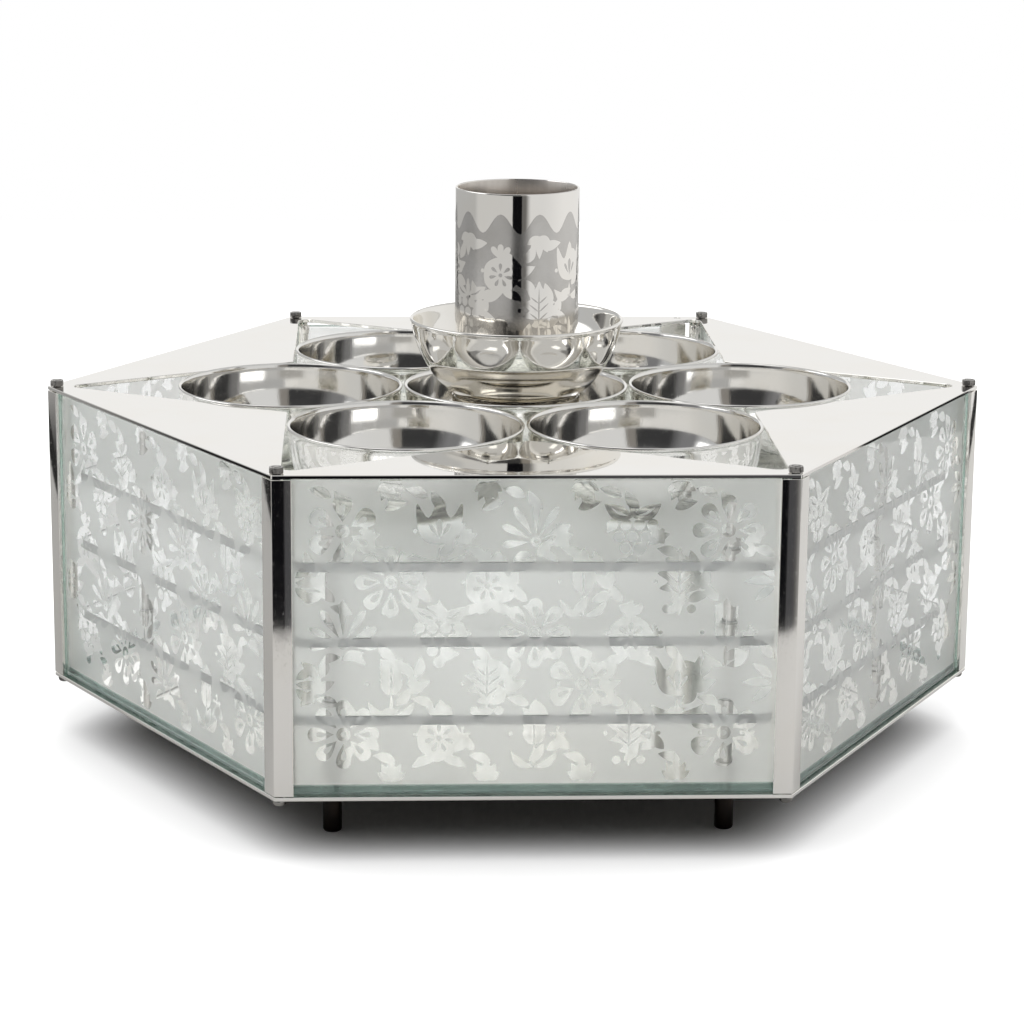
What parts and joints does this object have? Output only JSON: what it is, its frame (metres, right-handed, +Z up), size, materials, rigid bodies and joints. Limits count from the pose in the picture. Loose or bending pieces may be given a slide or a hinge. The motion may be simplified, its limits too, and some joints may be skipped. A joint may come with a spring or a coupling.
{
  "type": "seder plate",
  "caption": "Hexagonal etched-glass case with shelves for flat bread under a polished star-cut top plate that holds lift-out silver bowls, a raised footed bowl and a cup.",
  "frame": {"origin": "on the floor, under the middle of the case", "axes": "+Z up, the front panel faces -Y, two of the corners lie on the X axis"},
  "size_m": [0.41, 0.355, 0.245],
  "materials": {
    "polished_silver": "mirror polish, slightly warm",
    "etched_silver": "mirror polish with a matte etched leaf pattern",
    "steel_fastener": "satin",
    "pillar_steel": "turned steel, semi-gloss",
    "black_pin": "black, semi-gloss",
    "etched_glass": "clear glass, its inner face etched matte around clear leaf motifs",
    "clear_shelf_glass": "clear glass with ground edges"
  },
  "bodies": {
    "root": {"top_plate": "polished_silver", "bottom_plate": "polished_silver", "corner_strip_right": "polished_silver", "corner_bolt_right": "steel_fastener", "corner_nut_right": "steel_fastener", "corner_rod_right": "polished_silver", "pillar_right": "pillar_steel", "foot_right": "black_pin", "corner_strip_rear_right": "polished_silver", "corner_bolt_rear_right": "steel_fastener", "corner_nut_rear_right": "steel_fastener", "corner_rod_rear_right": "polished_silver", "pillar_rear_right": "pillar_steel", "foot_rear_right": "black_pin", "corner_strip_rear_left": "polished_silver", "corner_bolt_rear_left": "steel_fastener", "corner_nut_rear_left": "steel_fastener", "corner_rod_rear_left": "polished_silver", "pillar_rear_left": "pillar_steel", "foot_rear_left": "black_pin", "corner_strip_left": "polished_silver", "corner_bolt_left": "steel_fastener", "corner_nut_left": "steel_fastener", "corner_rod_left": "polished_silver", "pillar_left": "pillar_steel", "foot_left": "black_pin", "corner_strip_front_left": "polished_silver", "corner_bolt_front_left": "steel_fastener", "corner_nut_front_left": "steel_fastener", "corner_rod_front_left": "polished_silver", "pillar_front_left": "pillar_steel", "foot_front_left": "black_pin", "corner_strip_front_right": "polished_silver", "corner_bolt_front_right": "steel_fastener", "corner_nut_front_right": "steel_fastener", "corner_rod_front_right": "polished_silver", "pillar_front_right": "pillar_steel", "foot_front_right": "black_pin", "glass_panel_rear_right": "etched_glass", "glass_panel_rear_left": "etched_glass", "glass_panel_front_left": "etched_glass", "glass_panel_front": "etched_glass", "glass_panel_front_right": "etched_glass", "shelf_top": "clear_shelf_glass", "shelf_middle": "clear_shelf_glass", "shelf_bottom": "clear_shelf_glass"},
    "rear_door": {"rear_door_glass": "etched_glass", "door_clip_bottom": "polished_silver", "door_clip_top": "polished_silver"},
    "bowl_right_body": {"bowl_right": "polished_silver"},
    "bowl_rear_right_body": {"bowl_rear_right": "polished_silver"},
    "bowl_rear_left_body": {"bowl_rear_left": "polished_silver"},
    "bowl_left_body": {"bowl_left": "polished_silver"},
    "bowl_front_left_body": {"bowl_front_left": "polished_silver"},
    "bowl_front_right_body": {"bowl_front_right": "polished_silver"},
    "bowl_centre_body": {"bowl_centre": "polished_silver"},
    "raised_bowl_body": {"raised_bowl": "polished_silver", "raised_bowl_foot": "polished_silver"},
    "cup_body": {"cup": "etched_silver"}
  },
  "joints": [
    {"name": "rear_door_hinge", "type": "hinge", "parent": "root", "child": "rear_door", "pos_m": [0.088, 0.1727, 0.0912], "axis": [0, 0, -1], "range_deg": [0, 95]},
    {"name": "bowl_right_lift", "type": "slide", "parent": "root", "child": "bowl_right_body", "axis": [0, 0, 1], "range_m": [0, 0.06]},
    {"name": "bowl_rear_right_lift", "type": "slide", "parent": "root", "child": "bowl_rear_right_body", "axis": [0, 0, 1], "range_m": [0, 0.06]},
    {"name": "bowl_rear_left_lift", "type": "slide", "parent": "root", "child": "bowl_rear_left_body", "axis": [0, 0, 1], "range_m": [0, 0.06]},
    {"name": "bowl_left_lift", "type": "slide", "parent": "root", "child": "bowl_left_body", "axis": [0, 0, 1], "range_m": [0, 0.06]},
    {"name": "bowl_front_left_lift", "type": "slide", "parent": "root", "child": "bowl_front_left_body", "axis": [0, 0, 1], "range_m": [0, 0.06]},
    {"name": "bowl_front_right_lift", "type": "slide", "parent": "root", "child": "bowl_front_right_body", "axis": [0, 0, 1], "range_m": [0, 0.06]},
    {"name": "bowl_centre_lift", "type": "slide", "parent": "root", "child": "bowl_centre_body", "axis": [0, 0, 1], "range_m": [0, 0.06]},
    {"name": "raised_bowl_lift", "type": "slide", "parent": "bowl_centre_body", "child": "raised_bowl_body", "axis": [0, 0, 1], "range_m": [0, 0.06]},
    {"name": "cup_lift", "type": "slide", "parent": "raised_bowl_body", "child": "cup_body", "axis": [0, 0, 1], "range_m": [0, 0.06]}
  ]
}
